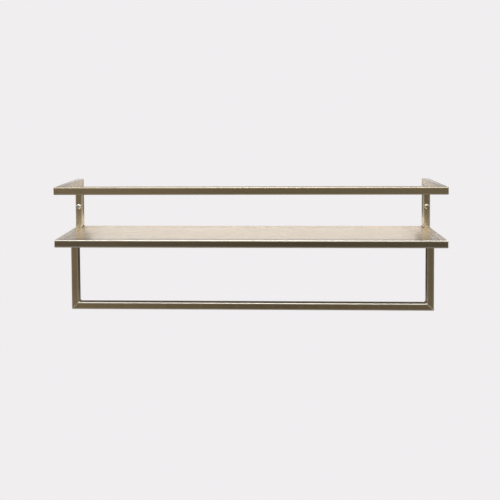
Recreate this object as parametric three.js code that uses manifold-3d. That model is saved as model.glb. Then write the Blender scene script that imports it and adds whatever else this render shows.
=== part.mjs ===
// A wall-hung towel rack with a shelf, welded from thin-walled square tube.
//
// A gallery rail runs round the shelf and is carried by two posts against the wall. The shelf is a
// mitred frame with a folded sheet pan let into it. A towel frame, two uprights and a bar, hangs
// from the side bars of the shelf. One screw through each post holds the rack to the wall.
//
// Millimetres. X runs along the wall, +Y into the wall, +Z up. The origin is on the wall, in the
// middle of the back face of the shelf frame's back bar.

import * as THREE from 'three';
import { mergeVertices, toCreasedNormals } from 'three/addons/utils/BufferGeometryUtils.js';
import Module from 'manifold-3d';

const manifoldLibrary = await Module();
manifoldLibrary.setup();

// The rack as a whole
const rackLength = 620;
const rackDepth = 120;
const railHeight = 84; // shelf top to the top of the gallery rail
const towelDrop = 137.5; // shelf top to the underside of the towel bar
const towelReach = 40; // wall to the front face of the towel frame

// The square tube that everything is welded from
const tubeSide = 12;
const tubeWall = 1.2;
const tubeCornerRadius = 1;
const tubeBoreRadius = 0.4;
const cornerSegments = 5;

// The sheet pan in the shelf frame
const sheetThickness = 1.2;
const flangeDepth = 10;
const bendRadius = 2; // outside radius of each fold
const bendSegments = 6;
const cornerRelief = 2.5; // square notch that lets two folds meet at a corner
const panelDrop = 0.2; // the pan lies this far below the tops of the bars

// The wall screws
const screwHoleRadius = 2.75;
const holeSegments = 32;
const screwShankRadius = 2.4;
const screwLength = 30; // under the head
const screwTipLength = 5;
const headRadius = 4.8;
const headHeight = 3;
const headRimHeight = 1;
const headCrownRadius = 1.8; // flat middle of the head
const crownSegments = 6;
const screwSegments = 32;
const recessSpan = 5.4;
const recessWidth = 1.4;
const recessDepth = 1.8;

// Room left between two pieces that meet
const seam = 0.3;

// Edges that turn by more than this look sharp
const creaseAngle = Math.PI / 5;

const half = tubeSide / 2;
const sideX = rackLength / 2 - half;
const frontY = half - rackDepth;
const wallY = -half;
const towelY = half - towelReach;
const shelfTop = half;
const shelfUnderside = -half;
const railZ = shelfTop + railHeight - half;
const towelZ = shelfTop - towelDrop + half;
const screwZ = (shelfTop + railZ - half) / 2;

const toRight = new THREE.Vector3(1, 0, 0);
const toLeft = new THREE.Vector3(-1, 0, 0);
const toWall = new THREE.Vector3(0, 1, 0);
const toRoom = new THREE.Vector3(0, -1, 0);
const upward = new THREE.Vector3(0, 0, 1);
const downward = new THREE.Vector3(0, 0, -1);

const finishes = {
  tube: { color: 0x8f7d56, roughness: 0.38, metalness: 1 },
  panel: { color: 0xa8966f, roughness: 0.34, metalness: 1 },
  screw: { color: 0xd8d2c2, roughness: 0.3, metalness: 1 },
};

const rack = new THREE.Group();

function addPiece(name, geometry, finish) {
  const material = new THREE.MeshStandardMaterial(finishes[finish]);
  const piece = new THREE.Mesh(toCreasedNormals(geometry, creaseAngle), material);
  piece.name = name;
  rack.add(piece);
  return piece;
}

// A closed geometry as a solid that can be cut or joined.
function toSolid(geometry) {
  const bare = geometry.clone();
  bare.deleteAttribute('normal');
  bare.deleteAttribute('uv');
  const welded = mergeVertices(bare);
  const mesh = new manifoldLibrary.Mesh({
    numProp: 3,
    vertProperties: new Float32Array(welded.attributes.position.array),
    triVerts: new Uint32Array(welded.index.array),
  });
  return new manifoldLibrary.Manifold(mesh);
}

function toGeometry(solid) {
  const { numProp, vertProperties, triVerts } = solid.getMesh();
  const vertexCount = vertProperties.length / numProp;
  const points = new Float32Array(vertexCount * 3);
  for (let vertex = 0; vertex < vertexCount; vertex++) {
    for (let axis = 0; axis < 3; axis++) {
      points[vertex * 3 + axis] = vertProperties[vertex * numProp + axis];
    }
  }
  const geometry = new THREE.BufferGeometry();
  geometry.setAttribute('position', new THREE.BufferAttribute(points, 3));
  geometry.setIndex(new THREE.BufferAttribute(new Uint32Array(triVerts), 1));
  return geometry;
}

function cut(geometry, ...tools) {
  let solid = toSolid(geometry);
  for (const tool of tools) {
    solid = solid.subtract(toSolid(tool));
  }
  return toGeometry(solid);
}

// Adds a square with rounded corners to a Shape or Path.
function traceRoundedSquare(path, side, radius) {
  const reach = side / 2 - radius;
  const quarter = Math.PI / 2;
  path.moveTo(side / 2, -reach);
  path.absarc(reach, reach, radius, 0, quarter);
  path.absarc(-reach, reach, radius, quarter, 2 * quarter);
  path.absarc(-reach, -reach, radius, 2 * quarter, 3 * quarter);
  path.absarc(reach, -reach, radius, 3 * quarter, 4 * quarter);
  return path;
}

// Square tube along X, centred on its axis. A lean is the direction, across the tube, in which the
// next tube leaves that end: the end is then mitred at 45 degrees towards it. Without a lean the
// end is cut square.
function mitredTube(length, startLean, endLean) {
  const section = traceRoundedSquare(new THREE.Shape(), tubeSide, tubeCornerRadius);
  section.holes.push(traceRoundedSquare(new THREE.Path(), tubeSide - 2 * tubeWall, tubeBoreRadius));
  const geometry = new THREE.ExtrudeGeometry(section, {
    depth: length,
    bevelEnabled: false,
    curveSegments: cornerSegments,
  });
  geometry.translate(0, 0, -length / 2);
  geometry.rotateY(Math.PI / 2);

  const setback = (seam / 2) * Math.SQRT2;
  const position = geometry.attributes.position;
  const point = new THREE.Vector3();
  for (let vertex = 0; vertex < position.count; vertex++) {
    point.fromBufferAttribute(position, vertex);
    const inward = -Math.sign(point.x);
    const lean = inward > 0 ? startLean : endLean;
    if (lean) {
      position.setX(vertex, point.x + inward * (point.dot(lean) + setback));
    }
  }
  return geometry;
}

// Places a tube between two points on its centre line. The leans are in the rack's own directions.
function addTube(name, start, end, startLean = null, endLean = null, drill = null) {
  const run = end.clone().sub(start);
  const turn = new THREE.Quaternion().setFromUnitVectors(toRight, run.clone().normalize());
  const turnBack = turn.clone().invert();
  const toLocal = (lean) => lean && lean.clone().applyQuaternion(turnBack);
  const middle = start.clone().add(end).divideScalar(2);

  let geometry = mitredTube(run.length(), toLocal(startLean), toLocal(endLean));
  if (drill) {
    const centre = drill.clone().sub(middle).applyQuaternion(turnBack);
    const drillBit = new THREE.CylinderGeometry(
      screwHoleRadius, screwHoleRadius, 2 * tubeSide, holeSegments,
    );
    drillBit.translate(centre.x, centre.y, centre.z);
    geometry = cut(geometry, drillBit);
  }

  const tube = addPiece(name, geometry, 'tube');
  tube.position.copy(middle);
  tube.quaternion.copy(turn);
}

// A rail between the two sides of the rack, mitred at both ends.
function addCrossRail(name, y, z, lean) {
  addTube(name, new THREE.Vector3(-sideX, y, z), new THREE.Vector3(sideX, y, z), lean, lean);
}

function addSide(side, x, inward) {
  const railCorner = new THREE.Vector3(x, frontY, railZ);
  const postTop = new THREE.Vector3(x, wallY, railZ);
  const postFoot = new THREE.Vector3(x, wallY, shelfTop + seam);
  addTube(`gallery_${side}_arm`, railCorner, postTop, inward, downward);
  addTube(`${side}_post`, postTop, postFoot, toRoom, null, new THREE.Vector3(x, wallY, screwZ));

  const shelfFront = new THREE.Vector3(x, frontY, 0);
  const shelfBack = new THREE.Vector3(x, wallY, 0);
  addTube(`shelf_${side}_bar`, shelfFront, shelfBack, inward, inward);

  const uprightTop = new THREE.Vector3(x, towelY, shelfUnderside - seam);
  const uprightFoot = new THREE.Vector3(x, towelY, towelZ);
  addTube(`${side}_upright`, uprightTop, uprightFoot, null, inward);

  const screw = addPiece(`wall_screw_${side}`, wallScrewGeometry(), 'screw');
  screw.position.set(x, -tubeSide - seam, screwZ);
}

// An inverted channel folded from sheet, seen along its length, with its top at height 0.
function channelSection(width) {
  const outer = width / 2;
  const inner = outer - sheetThickness;
  const bendX = outer - bendRadius;
  const insideRadius = bendRadius - sheetThickness;
  const quarter = Math.PI / 2;
  const section = new THREE.Shape();
  section.moveTo(outer, -flangeDepth);
  section.absarc(bendX, -bendRadius, bendRadius, 0, quarter);
  section.absarc(-bendX, -bendRadius, bendRadius, quarter, 2 * quarter);
  section.lineTo(-outer, -flangeDepth);
  section.lineTo(-inner, -flangeDepth);
  section.absarc(-bendX, -bendRadius, insideRadius, 2 * quarter, quarter, true);
  section.absarc(bendX, -bendRadius, insideRadius, quarter, 0, true);
  section.lineTo(inner, -flangeDepth);
  return section;
}

function channel(width, length) {
  const geometry = new THREE.ExtrudeGeometry(channelSection(width), {
    depth: length,
    bevelEnabled: false,
    curveSegments: bendSegments,
  });
  geometry.translate(0, 0, -length / 2);
  geometry.rotateX(Math.PI / 2);
  return geometry;
}

// The shelf pan: one sheet folded down on all four sides. It is two crossed channels, each cut
// short by the relief, so that the folds stop before the corners.
function shelfPanGeometry() {
  const panLength = rackLength - 2 * tubeSide - 2 * seam;
  const panDepth = rackDepth - 2 * tubeSide - 2 * seam;
  const endFolds = channel(panLength, panDepth - 2 * cornerRelief);
  const longFolds = channel(panDepth, panLength - 2 * cornerRelief);
  longFolds.rotateZ(Math.PI / 2);
  return toGeometry(toSolid(endFolds).add(toSolid(longFolds)));
}

// A pan-head screw along +Y, with the underside of its head at the origin and its head towards -Y.
function wallScrewGeometry() {
  const crownDepth = headHeight - headRimHeight;
  const profile = new THREE.Path();
  profile.moveTo(0, -headHeight);
  profile.lineTo(headCrownRadius, -headHeight);
  profile.absellipse(
    headCrownRadius, -headRimHeight, headRadius - headCrownRadius, crownDepth, -Math.PI / 2, 0,
  );
  profile.lineTo(headRadius, 0);
  profile.lineTo(screwShankRadius, 0);
  profile.lineTo(screwShankRadius, screwLength - screwTipLength);
  profile.lineTo(0, screwLength);
  const body = new THREE.LatheGeometry(profile.getPoints(crownSegments), screwSegments);

  const bladeA = new THREE.BoxGeometry(recessSpan, 2 * recessDepth, recessWidth);
  bladeA.translate(0, -headHeight, 0);
  const bladeB = bladeA.clone();
  bladeB.rotateY(Math.PI / 2);
  return cut(body, bladeA, bladeB);
}

addCrossRail('gallery_front_rail', frontY, railZ, toWall);
addCrossRail('shelf_front_bar', frontY, 0, toWall);
addCrossRail('shelf_back_bar', wallY, 0, toRoom);
addCrossRail('towel_bar', towelY, towelZ, upward);
addSide('left', -sideX, toRight);
addSide('right', sideX, toLeft);

const shelfPan = addPiece('shelf_panel', shelfPanGeometry(), 'panel');
shelfPan.position.set(0, -rackDepth / 2, shelfTop - panelDrop);

export default rack;
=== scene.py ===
"""Dresses a wall-hung towel rack with a shelf, and stands it before the camera.

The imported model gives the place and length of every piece.  Each tube is drawn again along its own
centre line as a hollow, mitred length of satin brass.  The shelf pan is folded again with true
bends.  The welds, the threads and the brushed, slightly aged finish are added here.  All lengths
are in metres.
"""

import logging
import math
from collections.abc import Callable, Mapping, Sequence
from dataclasses import dataclass, field, replace
from enum import Enum

import bmesh
import bpy
from mathutils import Euler, Matrix, Vector, noise


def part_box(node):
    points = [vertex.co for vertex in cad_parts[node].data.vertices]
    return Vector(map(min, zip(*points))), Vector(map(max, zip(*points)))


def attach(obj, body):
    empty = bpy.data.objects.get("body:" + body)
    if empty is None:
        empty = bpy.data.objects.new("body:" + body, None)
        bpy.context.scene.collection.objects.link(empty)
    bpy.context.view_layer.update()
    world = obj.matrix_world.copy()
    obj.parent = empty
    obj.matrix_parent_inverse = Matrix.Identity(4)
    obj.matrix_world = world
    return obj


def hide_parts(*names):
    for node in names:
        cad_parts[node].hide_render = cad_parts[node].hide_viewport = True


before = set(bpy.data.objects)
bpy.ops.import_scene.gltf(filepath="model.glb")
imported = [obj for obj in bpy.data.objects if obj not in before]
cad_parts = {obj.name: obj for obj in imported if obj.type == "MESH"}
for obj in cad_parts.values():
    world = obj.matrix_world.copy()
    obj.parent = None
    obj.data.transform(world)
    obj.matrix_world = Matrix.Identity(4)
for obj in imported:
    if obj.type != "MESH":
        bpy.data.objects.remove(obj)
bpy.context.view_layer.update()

log = logging.getLogger("towel_rack")

MM = 0.001
QUARTER_TURN = math.pi / 2
BODY = "root"

# The signs of a square's corners, anticlockwise.
CORNERS = ((1, 1), (-1, 1), (-1, -1), (1, -1))

Span = tuple[float, float]
Place = tuple[float, float, float]
Colour = tuple[float, float, float]


class Axis(Enum):
    """A direction of the rack: along the wall, into the wall, or up."""

    X = 0
    Y = 1
    Z = 2

    @property
    def vector(self) -> Vector:
        """The unit vector of the direction."""
        return Vector([float(index == self.value) for index in range(3)])


class Side(Enum):
    """The left or the right end of the rack, seen from the room."""

    LEFT = -1
    RIGHT = 1

    @property
    def word(self) -> str:
        """The side's name as the model's nodes spell it."""
        return self.name.lower()

    @property
    def inward(self) -> Vector:
        """The direction from this end towards the middle of the rack."""
        return Vector((-float(self.value), 0.0, 0.0))


TO_WALL = Vector((0.0, 1.0, 0.0))
TO_ROOM = Vector((0.0, -1.0, 0.0))
UP = Vector((0.0, 0.0, 1.0))
DOWN = Vector((0.0, 0.0, -1.0))


def operator(operation: str, reflected: bool = False) -> Callable[["Signal", "Term"], "Signal"]:
    """Makes a method of Signal that adds one Math node.

    Args:
        operation: Blender's name for the operation.
        reflected: Whether the signal is the second term.

    Returns:
        The method.
    """

    def method(signal: "Signal", other: "Term") -> "Signal":
        """Reckons with the other term."""
        terms = (other, signal) if reflected else (signal, other)
        return signal.graph.reckon(operation, *terms)

    return method


class Signal:
    """An output socket that Python's operators can reckon with, each by adding a Math node."""

    def __init__(self, graph: "Graph", socket: bpy.types.NodeSocket | None) -> None:
        """Wraps a socket of a graph."""
        self.graph = graph
        self.socket = socket

    def sibling(self, output: str) -> "Signal":
        """Another output of the same node."""
        return Signal(self.graph, self.graph.find(self.socket.node.outputs, output))

    __add__, __radd__ = operator("ADD"), operator("ADD", True)
    __sub__, __rsub__ = operator("SUBTRACT"), operator("SUBTRACT", True)
    __mul__, __rmul__ = operator("MULTIPLY"), operator("MULTIPLY", True)
    __truediv__, __rtruediv__ = operator("DIVIDE"), operator("DIVIDE", True)
    __mod__, __rmod__ = operator("MODULO"), operator("MODULO", True)
    __gt__, __lt__ = operator("GREATER_THAN"), operator("LESS_THAN")
    at_least, at_most = operator("MAXIMUM"), operator("MINIMUM")

    def __neg__(self) -> "Signal":
        """The signal with its sign turned."""
        return self * -1.0

    def __abs__(self) -> "Signal":
        """The signal without its sign."""
        return self.graph.reckon("ABSOLUTE", self)

    def clamped(self) -> "Signal":
        """The signal kept between 0 and 1."""
        return self.at_least(0.0).at_most(1.0)

    def rise(self, low: "Term", high: "Term") -> "Signal":
        """A smooth step from 0 where the signal is at low to 1 where it is at high."""
        step = {"interpolation_type": "SMOOTHSTEP"}
        return self.graph.add("ShaderNodeMapRange", step, Value=self, From_Min=low, From_Max=high)

    def band(self, start: Span, end: Span) -> "Signal":
        """A smooth step up over the start and down again over the end."""
        return self.rise(*start) * (1.0 - self.rise(*end))


Term = Signal | float | int


class Graph:
    """A node tree in the making."""

    def __init__(self, tree: bpy.types.NodeTree) -> None:
        """Wraps a shader or geometry tree."""
        self.tree = tree

    @staticmethod
    def find(sockets: Sequence[bpy.types.NodeSocket], key: str | int) -> bpy.types.NodeSocket:
        """Looks a socket up.

        Args:
            sockets: A node's inputs or outputs.
            key: Its index, its identifier, or its name with _ for each space.

        Returns:
            The socket.
        """
        if isinstance(key, int):
            return sockets[key]
        name = key.replace("_", " ")
        by_identifier = [socket for socket in sockets if socket.identifier == key]
        return (by_identifier + [s for s in sockets if s.name == name and s.enabled])[0]

    def add(self, kind: str, settings: Mapping[str, object] | None = None, *ordered: object,
            output: str | int = 0, **named: object) -> Signal:
        """Adds a node.

        Args:
            kind: The node's type.
            settings: Its settings, which are set first.
            *ordered: A value, a Signal or a list of Signals for each of its first sockets.
            output: The output to hand back.
            **named: The same for its other sockets, each by its name with _ for a space.

        Returns:
            That output.
        """
        node = self.tree.nodes.new(kind)
        for name, value in (settings or {}).items():
            setattr(node, name, value)
        for key, value in [*enumerate(ordered), *named.items()]:
            socket = self.find(node.inputs, key)
            if isinstance(value, (Signal, list)):
                for signal in value if isinstance(value, list) else [value]:
                    self.tree.links.new(signal.socket, socket)
            else:
                socket.default_value = value
        return Signal(self, self.find(node.outputs, output) if len(node.outputs) else None)

    def reckon(self, operation: str, *terms: Term) -> Signal:
        """Adds a Math node, given Blender's name for its operation, with its inputs in order."""
        return self.add("ShaderNodeMath", {"operation": operation}, *terms)

    def blend(self, factor: Term, first: Signal | Colour, second: Signal | Colour) -> Signal:
        """Mixes two colours.

        Args:
            factor: 0 for the first, 1 for the second.
            first: A colour, or a Signal that carries one.
            second: The same.

        Returns:
            The mixed colour.
        """
        a, b = (end if isinstance(end, Signal) else (*end, 1.0) for end in (first, second))
        settings = {"data_type": "RGBA", "blend_type": "MIX"}
        ends = {"Factor_Float": factor, "A_Color": a, "B_Color": b}
        return self.add("ShaderNodeMix", settings, output="Result_Color", **ends)

    def vector(self, x: Term = 0.0, y: Term = 0.0, z: Term = 0.0) -> Signal:
        """A vector of three numbers."""
        return self.add("ShaderNodeCombineXYZ", X=x, Y=y, Z=z)

    def parts(self, vector: Signal) -> tuple[Signal, Signal, Signal]:
        """The three numbers of a vector."""
        x = self.add("ShaderNodeSeparateXYZ", Vector=vector)
        return x, x.sibling("Y"), x.sibling("Z")

    def noise(self, vector: Signal, scale: float, detail: float, roughness: float = 0.5) -> Signal:
        """Cloudy noise from 0 to 1, with its scale in clouds a metre."""
        values = {"Vector": vector, "Scale": scale, "Detail": detail, "Roughness": roughness}
        return self.add("ShaderNodeTexNoise", **values)

    def rays(self) -> tuple[Signal, Signal, Signal]:
        """Tells rays apart.

        Returns:
            1 for a ray from the camera, 1 for a ray off metal or through glass, and its length.
        """
        seen = self.add("ShaderNodeLightPath", output="Is Camera Ray")
        polished = seen.sibling("Is Glossy Ray").at_least(seen.sibling("Is Transmission Ray"))
        return seen, polished, seen.sibling("Ray Length")


class Paint(Graph):
    """A material in the making, which reads Object coordinates."""

    def __init__(self, name: str) -> None:
        """Starts an empty material.

        Args:
            name: The material's name.
        """
        self.material = bpy.data.materials.new(name)
        self.material.use_nodes = True
        super().__init__(self.material.node_tree)
        self.tree.nodes.clear()
        self.place = self.add("ShaderNodeTexCoord", output="Object")

    def clouds(self, size: float, detail: float, roughness: float) -> Signal:
        """Noise in patches of about a size."""
        return self.noise(self.place, 1 / size, detail, roughness)

    def mark(self, name: str) -> Signal:
        """An attribute that the mesh carries."""
        return self.add("ShaderNodeAttribute", {"attribute_name": name}, output="Fac")

    def relief(self, height: Signal, strength: float, depth: float) -> Signal:
        """A bump of a height from 0 to 1."""
        return self.add("ShaderNodeBump", Height=height, Strength=strength, Distance=depth)

    def metal(self, tone: Signal, **values: Term) -> bpy.types.Material:
        """Ends the material as metal, given what goes into the shader's other sockets."""
        values = {"Base_Color": tone, "Metallic": 1.0, **values}
        return self.end(self.add("ShaderNodeBsdfPrincipled", **values))

    def end(self, surface: Signal) -> bpy.types.Material:
        """Ends the material with its surface."""
        self.add("ShaderNodeOutputMaterial", Surface=surface)
        return self.material


def middle_of(node: str) -> Vector:
    """The middle of a node's box."""
    return sum(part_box(node), Vector()) / 2


def inputs(sizes: object) -> dict[str, object]:
    """A dataclass's fields by the names of a tree's inputs, as Edge Break for edge_break."""
    return {name.replace("_", " ").title(): value for name, value in vars(sizes).items()}


def stand(name: str, data: bpy.types.ID) -> bpy.types.Object:
    """Adds an object to the scene.

    Args:
        name: Its name.
        data: Its mesh, camera or lamp.

    Returns:
        The object.
    """
    made = bpy.data.objects.new(name, data)
    bpy.context.scene.collection.objects.link(made)
    return made


def take_mesh(carrier: bpy.types.Object) -> bpy.types.Mesh:
    """Turns an object and its modifiers into a plain mesh, and removes the object.

    Args:
        carrier: An object of the scene.

    Returns:
        The new mesh.
    """
    graph = bpy.context.evaluated_depsgraph_get()
    made = bpy.data.meshes.new_from_object(carrier.evaluated_get(graph), depsgraph=graph)
    bpy.data.objects.remove(carrier)
    return made


def modified(mesh: bpy.types.Mesh, **modifiers: Mapping[str, object]) -> bpy.types.Mesh:
    """Applies modifiers to a mesh.

    Args:
        mesh: The mesh.
        **modifiers: The settings of each, by its type in Blender.

    Returns:
        The new mesh.
    """
    carrier = stand(mesh.name, mesh)
    for kind, settings in modifiers.items():
        modifier = carrier.modifiers.new(kind, kind)
        for name, value in settings.items():
            setattr(modifier, name, value)
    return take_mesh(carrier)


def settle(shape: bmesh.types.BMesh, name: str) -> bpy.types.Mesh:
    """Turns a shape's faces outwards and makes a mesh of it.

    Args:
        shape: The shape, which is used up.
        name: The mesh's name.

    Returns:
        The mesh.
    """
    bmesh.ops.recalc_face_normals(shape, faces=shape.faces)
    mesh = bpy.data.meshes.new(name)
    shape.to_mesh(mesh)
    shape.free()
    return mesh


def show(name: str, mesh: bpy.types.Mesh, slot: str, *nodes: str) -> None:
    """Adds a finished mesh to the rack.

    Args:
        name: The piece's name.
        mesh: Its mesh, in place.
        slot: The name of a material slot; not used.
        *nodes: The model's nodes that it stands for.
    """
    mesh.name = name
    piece = stand(name, mesh)
    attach(piece, BODY)
    if nodes:
        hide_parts(*nodes)
    log.info("%s: %d faces", name, len(mesh.polygons))


@dataclass(frozen=True)
class SatinBrass:
    """Brass that was brushed, darkened with age and lacquered."""

    name: str
    grain: Axis  # the direction that it was brushed in
    clean: Colour = (0.43, 0.335, 0.19)
    aged: Colour = (0.20, 0.158, 0.095)
    rubbed: Colour = (0.84, 0.80, 0.70)  # on edges that hands and cloths have polished; near white, it also paints a highlight on them
    joint: Colour = (0.28, 0.215, 0.125)  # beside a weld
    dressed: Colour = (0.72, 0.60, 0.41)  # where it was polished again after welding; some tubes use it as painted light
    lacquer_roughness: float = 0.17
    lacquer_ior: float = 1.6
    lacquer_worn: float = 0.85  # how much of the lacquer the edges have lost
    roughness: float = 0.27
    cloud_roughness: float = 0.1
    scratch_roughness: float = 0.12
    joint_roughness: float = 0.08
    edge_roughness: float = 0.13
    ageing: float = 0.12
    cloud_ageing: float = 0.7
    speckle_ageing: float = 0.2
    cloud_size: float = 45 * MM
    speckle_size: float = 1.6 * MM
    scratch_pitch: float = 0.35 * MM
    scratch_length: float = 90 * MM
    scratch_depth: float = 0.006 * MM
    scratch_strength: float = 0.35

    def material(self) -> bpy.types.Material:
        """Builds the material, which also reads the marks that the tubes carry.

        Returns:
            The material.
        """
        paint = Paint(self.name)
        clouds = paint.clouds(self.cloud_size, 3.0, 0.55) - 0.5
        speckle = paint.clouds(self.speckle_size, 2.0, 0.6)
        across, lengthwise = 1 / self.scratch_pitch, 1 / self.scratch_length
        stretch = tuple(lengthwise if axis is self.grain else across for axis in Axis)
        point = {"vector_type": "POINT"}
        brushed = paint.add("ShaderNodeMapping", point, Vector=paint.place, Scale=stretch)
        scratches = paint.noise(brushed, 1.0, 2.0, 0.65)

        marks = ("edge", "joint", "age", "dressed", "rubbed")
        edge, joint, age, dressed, rubbed = map(paint.mark, marks)
        quiet = 1.0 - edge * 0.9  # the patterns fade on the narrow edges
        heated = joint * (0.1 + speckle * 0.4)
        uneven = clouds * self.cloud_ageing + (speckle - 0.5) * self.speckle_ageing
        ageing = age + self.ageing + uneven * quiet
        tone = paint.blend(ageing.clamped(), self.clean, self.aged)
        # The polished colour: partly polish after welding, partly painted light on some feet and bars.
        tone = paint.blend(dressed * (0.9 + (speckle - 0.5) * 0.12), tone, self.dressed)
        tone = paint.blend(heated, tone, self.joint)
        # Edges: partly worn bright, partly a painted highlight.
        tone = paint.blend(rubbed * (0.8 + clouds * 0.2), tone, self.rubbed)

        uneven = clouds * self.cloud_roughness + (scratches - 0.5) * self.scratch_roughness
        worn = heated * self.joint_roughness + edge * self.edge_roughness
        return paint.metal(
            tone,
            Roughness=self.roughness + uneven * quiet + worn,
            Normal=paint.relief(scratches * quiet, self.scratch_strength, self.scratch_depth),
            Coat_Weight=1.0 - edge * self.lacquer_worn,
            Coat_Roughness=self.lacquer_roughness,
            Coat_IOR=self.lacquer_ior,
        )


@dataclass(frozen=True)
class BareMetal:
    """Metal with dull patches and fine pits, which are those of a brazed weld unless given."""

    name: str
    bright: Colour
    dull: Colour
    roughness: float
    patch_size: float = 4 * MM
    patch_contrast: float = 2.2
    patch_threshold: float = 0.7
    patch_roughness: float = 0.2  # how much the roughness differs from patch to patch
    pit_size: float = 0.5 * MM
    pit_strength: float = 0.3
    pit_depth: float = 0.04 * MM

    def material(self) -> bpy.types.Material:
        """Builds the material.

        Returns:
            The material.
        """
        paint = Paint(self.name)
        patches = paint.clouds(self.patch_size, 3.0, 0.6)
        pits = paint.clouds(self.pit_size, 2.0, 0.5)
        dullness = (patches * self.patch_contrast - self.patch_threshold).clamped()
        return paint.metal(
            paint.blend(dullness, self.bright, self.dull),
            Roughness=self.roughness + (patches - 0.5) * self.patch_roughness,
            Normal=paint.relief(pits, self.pit_strength, self.pit_depth),
        )


class Bare(Enum):
    """The rack's metals without lacquer: its welds, and the plating of its screws."""

    RAW_WELD = BareMetal("raw_weld", (0.42, 0.35, 0.245), (0.20, 0.155, 0.10), 0.48)
    POLISHED_WELD = BareMetal("polished_weld", (0.66, 0.58, 0.43), (0.43, 0.36, 0.255), 0.4)
    BRIGHT_PLATING = BareMetal(
        "plated_steel",
        bright=(0.75, 0.72, 0.655),
        dull=(0.49, 0.46, 0.40),
        roughness=0.33,
        patch_size=3 * MM,
        patch_contrast=1.8,
        patch_threshold=0.4,
        patch_roughness=0.12,
        pit_size=0.25 * MM,
        pit_strength=0.15,
        pit_depth=0.01 * MM,
    )
    # The right screw's plating, darker than the left's.
    DARKER_PLATING = replace(
        BRIGHT_PLATING,
        name="darker_steel",
        bright=(0.52, 0.485, 0.38),
        dull=(0.31, 0.285, 0.22),
        roughness=0.37,
    )


class GrowthTree(Graph):
    """A Geometry Nodes tree with named inputs, whose result is realised and given its finish."""

    def __init__(self, name: str, floats: Sequence[str], **others: Sequence[str]) -> None:
        """Makes the tree and its inputs.

        Args:
            name: The tree's name.
            floats: The names of its inputs that are plain numbers.
            **others: The names of its inputs of another kind, such as Int or Vector.
        """
        super().__init__(bpy.data.node_groups.new(name, "GeometryNodeTree"))
        ends = self.tree.interface
        ends.new_socket(name="Geometry", in_out="OUTPUT", socket_type="NodeSocketGeometry")
        kinds = {"Geometry": ["Host"], "Float": floats, **others, "Material": ["Finish"]}
        for kind, names in kinds.items():
            for socket in names:
                ends.new_socket(name=socket, in_out="INPUT", socket_type=f"NodeSocket{kind}")
        self.source = self.tree.nodes.new("NodeGroupInput")
        self.shape = self.given("Host")
        self.place = self.add("GeometryNodeInputPosition")
        self.index = self.add("GeometryNodeInputIndex")

    def given(self, name: str) -> Signal:
        """One of the tree's named inputs."""
        return Signal(self, self.find(self.source.outputs, name))

    def scaled(self, vector: Signal, factor: Term) -> Signal:
        """A vector times a number."""
        return self.add("ShaderNodeVectorMath", {"operation": "SCALE"}, vector, Scale=factor)

    def moved(self, shape: Signal, **how: object) -> Signal:
        """A shape after a Translation, Rotation or Scale."""
        return self.add("GeometryNodeTransform", Geometry=shape, **how)

    def join(self, *shapes: Signal) -> Signal:
        """All the shapes as one."""
        return self.add("GeometryNodeJoinGeometry", Geometry=list(shapes))

    def sweep(self, line: Signal, profile: Signal, **how: Term) -> Signal:
        """The mesh that a profile leaves along a line."""
        return self.add("GeometryNodeCurveToMesh", Curve=line, Profile_Curve=profile, **how)

    def rectangle(self, width: Term, height: Term, radius: Term, points: int) -> Signal:
        """Draws a closed rectangle with rounded corners, flat on the tree's XY plane.

        Args:
            width: Its width.
            height: Its height.
            radius: The rounding of its corners.
            points: The number of steps round a corner.

        Returns:
            The curve.
        """
        kind = "GeometryNodeCurvePrimitiveQuadrilateral"
        sharp = self.add(kind, {"mode": "RECTANGLE"}, Width=width, Height=height)
        corner = {"Count": points, "Radius": radius, "Limit_Radius": True}
        return self.add("GeometryNodeFilletCurve", {"mode": "POLY"}, Curve=sharp, **corner)

    def shift(self, **to: Signal) -> None:
        """Moves the points of the shape to a Position or by an Offset."""
        self.shape = self.add("GeometryNodeSetPosition", Geometry=self.shape, **to)

    def shade(self, domain: str, smooth: bool, **where: Signal) -> None:
        """Shades the faces or edges of the shape smooth or sharp."""
        values = {"Geometry": self.shape, "Shade_Smooth": smooth, **where}
        self.shape = self.add("GeometryNodeSetShadeSmooth", {"domain": domain}, **values)

    def end(self) -> None:
        """Realises the shape, gives it the finish and makes it the tree's result."""
        whole = self.add("GeometryNodeRealizeInstances", Geometry=self.shape)
        finish = self.given("Finish")
        finished = self.add("GeometryNodeSetMaterial", Geometry=whole, Material=finish)
        self.add("NodeGroupOutput", None, finished)

    def grow(self, name: str, finish: bpy.types.Material, values: Mapping[str, object],
             host: bpy.types.Mesh | None = None) -> bpy.types.Mesh:
        """Runs the tree once.

        Args:
            name: The mesh's name.
            finish: The material.
            values: The values of its named inputs, among others that it leaves alone.
            host: The mesh that the tree starts from, if it needs one.

        Returns:
            The mesh, with no modifier left.
        """
        carrier = stand(name, host or bpy.data.meshes.new(name))
        modifier = carrier.modifiers.new(name, "NODES")
        modifier.node_group = self.tree
        values = {**values, "Finish": finish}
        for item in self.tree.interface.items_tree:
            if item.in_out == "INPUT" and item.name in values:
                modifier[item.identifier] = values[item.name]
        return take_mesh(carrier)


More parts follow.
